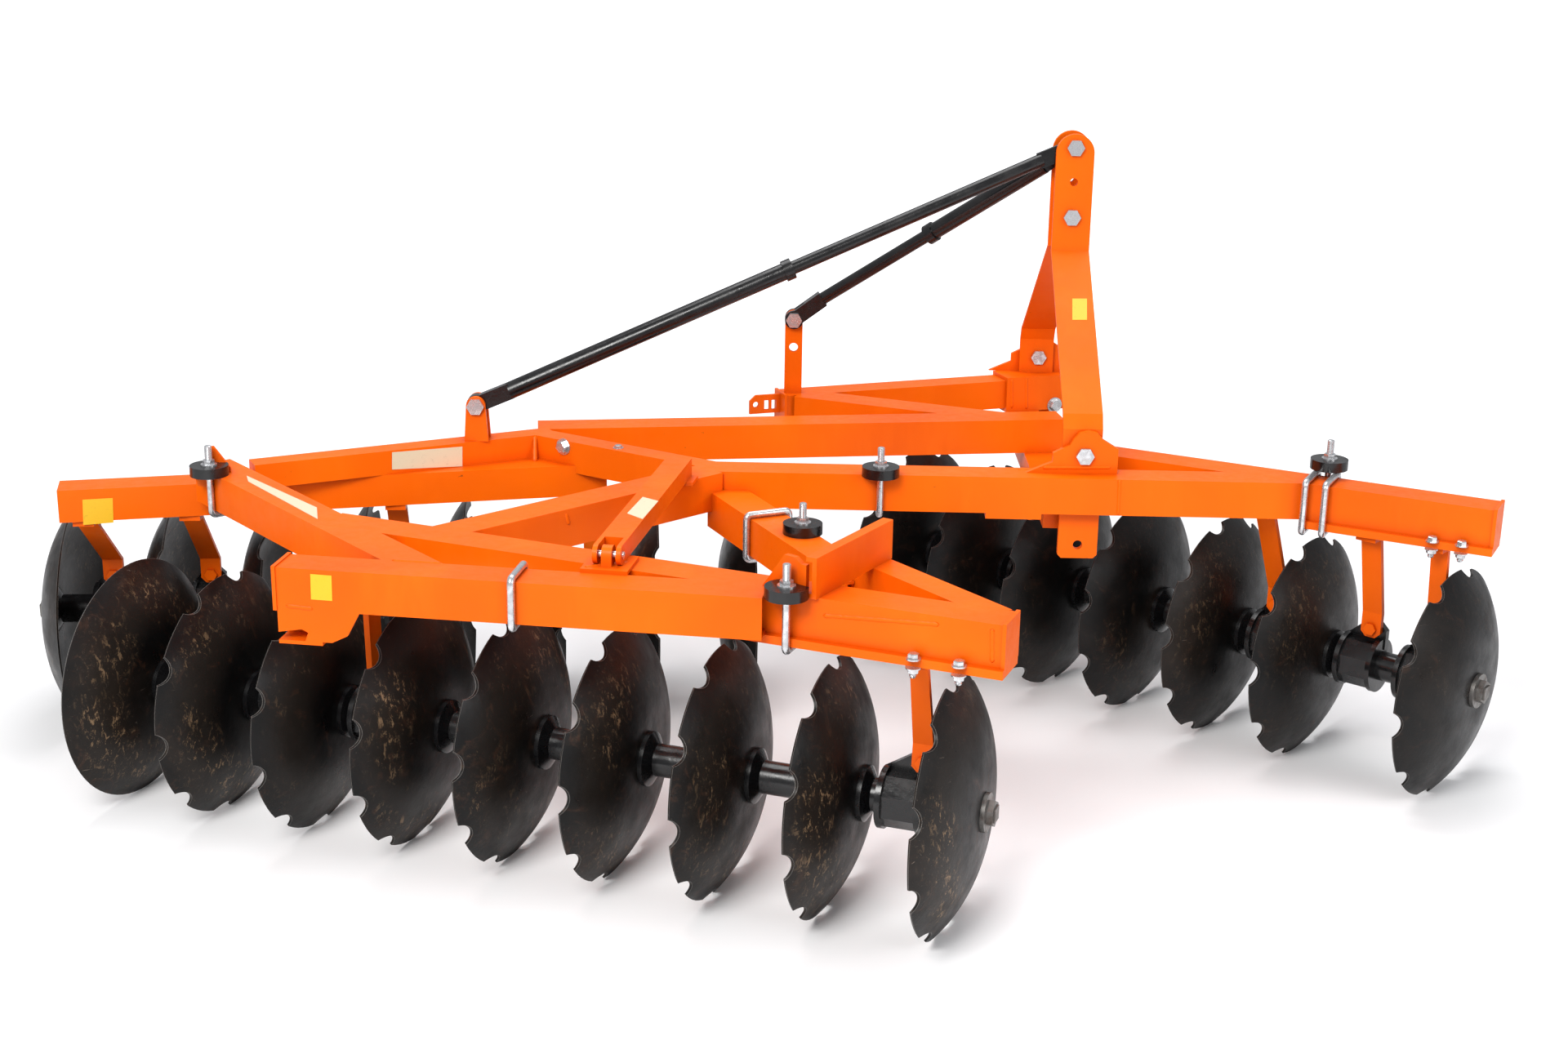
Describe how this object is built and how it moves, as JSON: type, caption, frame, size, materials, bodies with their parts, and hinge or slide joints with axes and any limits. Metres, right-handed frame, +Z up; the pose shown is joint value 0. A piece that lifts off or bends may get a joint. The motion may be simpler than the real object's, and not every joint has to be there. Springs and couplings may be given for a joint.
{
  "type": "disc harrow",
  "caption": "Mounted offset disc harrow: box-tube frame, three gangs of dished notched discs on turning axles, cranked mast with top-link hole and two stays, lower-link plates.",
  "frame": {"origin": "middle of the bounding box in plan, at floor level under the discs", "axes": "+X towards the mast side, along the longest extent; +Y away from the gang with the plain end disc in front; +Z up"},
  "size_m": [3.668, 2.3078, 1.496],
  "materials": {
    "orange_paint": "gloss enamel",
    "black_paint": "gloss enamel",
    "disc_steel": "dark, rusted and scratched",
    "axle_steel": "dull",
    "zinc": "bright zinc plating"
  },
  "bodies": {
    "frame": {"bearings_a": "black_paint", "hangers_a": "orange_paint", "bearings_b": "black_paint", "hangers_b": "orange_paint", "bearings_c": "black_paint", "hangers_c": "orange_paint", "gang_beam_a": "orange_paint", "gang_beam_b": "orange_paint", "mast_tube": "orange_paint", "gang_beam_c": "orange_paint", "front_rail": "orange_paint", "left_brace": "orange_paint", "inner_brace": "orange_paint", "end_brace": "orange_paint", "cross_tube": "orange_paint", "main_beam": "orange_paint", "rear_beam_left": "orange_paint", "rear_beam_middle": "orange_paint", "rear_beam_right": "orange_paint", "rear_diagonal": "orange_paint", "rear_rail": "orange_paint", "beam_pads": "orange_paint", "rail_bracket": "orange_paint", "rail_end_bracket": "orange_paint", "stub_channel": "orange_paint", "gusset": "orange_paint", "link_arm": "orange_paint", "link_base": "orange_paint", "link_pad": "orange_paint", "link_pin": "zinc", "mast_leg_near": "orange_paint", "mast_leg_far": "orange_paint", "mast_lugs": "orange_paint", "mast_pins": "zinc", "stay_short": "black_paint", "stay_long": "black_paint", "stay_post": "orange_paint", "stay_lugs": "orange_paint", "stay_pins": "zinc", "hitch_plate_near": "orange_paint", "hitch_plate_far": "orange_paint", "clamp_rods": "zinc", "clamp_caps": "black_paint", "clamp_nuts": "zinc"},
    "gang_a": {"discs_a": "disc_steel", "spools_a": "black_paint", "axle_a": "axle_steel"},
    "gang_b": {"discs_b": "disc_steel", "spools_b": "black_paint", "axle_b": "axle_steel"},
    "gang_c": {"discs_c": "disc_steel", "spools_c": "black_paint", "axle_c": "axle_steel"}
  },
  "joints": [
    {"name": "gang_a_spin", "type": "hinge", "parent": "frame", "child": "gang_a", "pos_m": [-0.51985, -0.56585, 0.28], "axis": [0.9444, -0.3289, 0], "continuous": true},
    {"name": "gang_b_spin", "type": "hinge", "parent": "frame", "child": "gang_b", "pos_m": [1.0472, 0.3685, 0.28], "axis": [0.7705, -0.6374, 0], "continuous": true},
    {"name": "gang_c_spin", "type": "hinge", "parent": "frame", "child": "gang_c", "pos_m": [-0.87537, 0.30018, 0.28], "axis": [0.9962, 0.0872, 0], "continuous": true}
  ]
}
